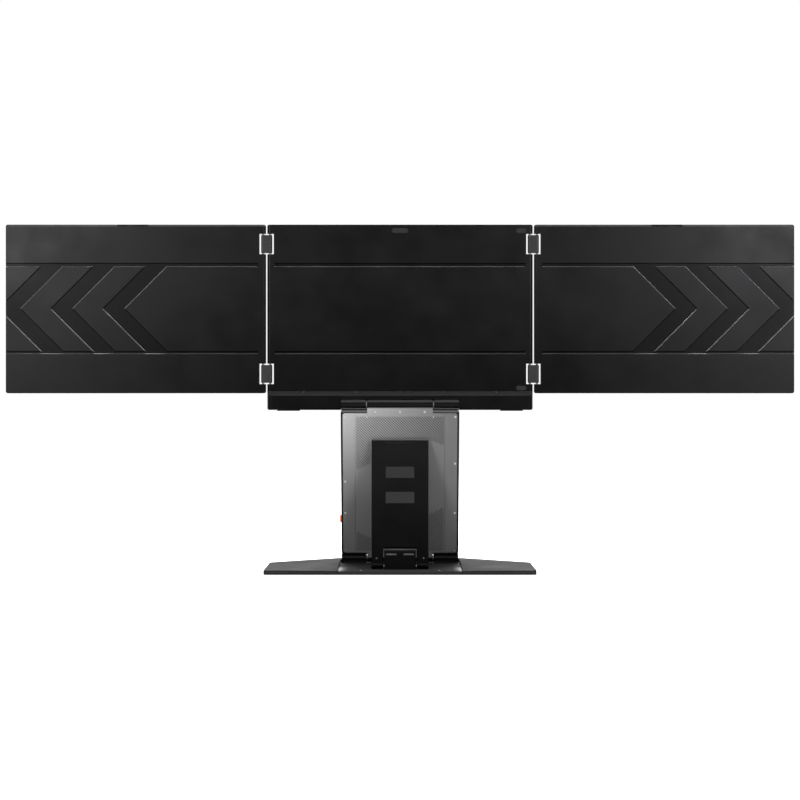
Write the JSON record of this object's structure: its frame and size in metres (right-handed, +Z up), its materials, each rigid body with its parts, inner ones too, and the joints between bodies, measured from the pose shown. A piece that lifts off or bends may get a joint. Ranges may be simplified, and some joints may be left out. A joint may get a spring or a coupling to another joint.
{
  "type": "laptop screen extender",
  "caption": "Laptop screen extender: a wide centre screen with a folding wing screen on each side, carried by a hinged spine and a prop strut on a low swept base.",
  "frame": {"origin": "centre of the base's footprint, on the surface it stands on", "axes": "+Z up, the screens face -Y, +X to the right of the person who looks at them"},
  "size_m": [0.9584, 0.16, 0.4166],
  "materials": {
    "panel_cover": "fine matt black anodised",
    "panel_frame": "satin black",
    "screen_glass": "dark screen, switched off",
    "inner_plastic": "plain",
    "circuit_board": "green board with black parts",
    "base_metal": "dark grey satin anodised",
    "deck_metal": "dark satin",
    "steel_sheet": "black painted steel",
    "rubber": "matt black",
    "hinge_black": "satin black",
    "chassis_black": "satin black anodised",
    "spine_metal": "grey satin, finely etched",
    "strut_black": "satin black anodised",
    "strut_pad": "fine matt grey",
    "link_metal": "dark grey satin",
    "pin_steel": "turned steel",
    "screw_steel": "bright",
    "dark_screw": "blackened",
    "lug_leaf": "dark spring steel",
    "key_orange": "orange satin",
    "bar_plastic": "satin black",
    "plug_black": "satin black"
  },
  "bodies": {
    "base": {"base_plate": "base_metal", "base_deck": "deck_metal", "base_closing_sheet": "steel_sheet", "base_ballast": "steel_sheet", "base_feet": "rubber", "base_deck_screws": "screw_steel", "lower_knuckles": "hinge_black", "lower_hinge_pins": "pin_steel", "lower_hinge_washers": "pin_steel", "strut_lug": "hinge_black", "strut_lug_leaves": "lug_leaf", "strut_pin": "pin_steel"},
    "spine": {"spine_chassis": "chassis_black", "spine_cover": "spine_metal", "spine_hub_board": "circuit_board", "spine_ports": "screw_steel", "spine_key_switch": "inner_plastic", "spine_lower_barrel": "hinge_black", "spine_upper_barrel": "hinge_black", "upper_hinge_pins": "pin_steel", "upper_hinge_washers": "pin_steel", "spine_cover_screws": "screw_steel"},
    "power_key": {"power_key": "key_orange"},
    "strut": {"strut_plate": "strut_black", "strut_pads": "strut_pad", "strut_bumper": "rubber", "strut_screws": "dark_screw"},
    "centre_panel": {"centre_rear_cover": "panel_cover", "centre_front_frame": "panel_frame", "centre_screen_glass": "screen_glass", "centre_display": "inner_plastic", "centre_main_board": "circuit_board", "centre_knuckles": "hinge_black", "centre_chin_screws": "dark_screw", "centre_chin_feet": "rubber", "centre_cover_plugs": "plug_black"},
    "right_links": {"right_link_upper": "link_metal", "right_link_lower": "link_metal", "right_link_pins": "pin_steel"},
    "right_wing": {"right_wing_rear_cover": "panel_cover", "right_wing_front_frame": "panel_frame", "right_wing_screen_glass": "screen_glass", "right_wing_display": "inner_plastic", "right_wing_driver_board": "circuit_board", "right_wing_bar_switches": "inner_plastic"},
    "right_rocker_bar": {"right_wing_rocker_bar": "bar_plastic"},
    "left_links": {"left_link_upper": "link_metal", "left_link_lower": "link_metal", "left_link_pins": "pin_steel"},
    "left_wing": {"left_wing_rear_cover": "panel_cover", "left_wing_front_frame": "panel_frame", "left_wing_screen_glass": "screen_glass", "left_wing_display": "inner_plastic", "left_wing_driver_board": "circuit_board", "left_wing_bar_switches": "inner_plastic"},
    "left_rocker_bar": {"left_wing_rocker_bar": "bar_plastic"}
  },
  "joints": [
    {"name": "spine_tilt", "type": "hinge", "parent": "base", "child": "spine", "pos_m": [0, -0.052, 0.0085], "axis": [1, 0, 0], "range_deg": [0, 80]},
    {"name": "strut_swing", "type": "hinge", "parent": "base", "child": "strut", "pos_m": [0, 0.057, 0.00841], "axis": [1, 0, 0], "range_deg": [-115, 0]},
    {"name": "panel_tilt", "type": "hinge", "parent": "spine", "child": "centre_panel", "pos_m": [0, -0.01403, 0.19854], "axis": [1, 0, 0], "range_deg": [-30, 10]},
    {"name": "right_link_fold", "type": "hinge", "parent": "centre_panel", "child": "right_links", "pos_m": [0.1579, -0.01803, 0.31409], "axis": [0, 0, 1], "range_deg": [-90, 30]},
    {"name": "right_wing_fold", "type": "hinge", "parent": "right_links", "child": "right_wing", "pos_m": [0.1665, -0.01803, 0.31409], "axis": [0, 0, 1], "range_deg": [-90, 30]},
    {"name": "right_bar_press", "type": "slide", "parent": "right_wing", "child": "right_rocker_bar", "axis": [0, 0, -1], "range_m": [0, 0.0006], "stiffness_N_per_m": 800, "springref_m": -0.0005},
    {"name": "left_link_fold", "type": "hinge", "parent": "centre_panel", "child": "left_links", "pos_m": [-0.1579, -0.01803, 0.31409], "axis": [0, 0, 1], "range_deg": [-30, 90]},
    {"name": "left_wing_fold", "type": "hinge", "parent": "left_links", "child": "left_wing", "pos_m": [-0.1665, -0.01803, 0.31409], "axis": [0, 0, 1], "range_deg": [-30, 90]},
    {"name": "left_bar_press", "type": "slide", "parent": "left_wing", "child": "left_rocker_bar", "axis": [0, 0, -1], "range_m": [0, 0.0006], "stiffness_N_per_m": 800, "springref_m": -0.0005},
    {"name": "power_key_press", "type": "slide", "parent": "spine", "child": "power_key", "axis": [-1, 0, 0], "range_m": [0, 0.0009], "stiffness_N_per_m": 800, "springref_m": -0.0005}
  ],
  "couplings": [
    {"joint": "right_link_fold", "follows": "right_wing_fold", "ratio": 1},
    {"joint": "left_link_fold", "follows": "left_wing_fold", "ratio": 1}
  ]
}
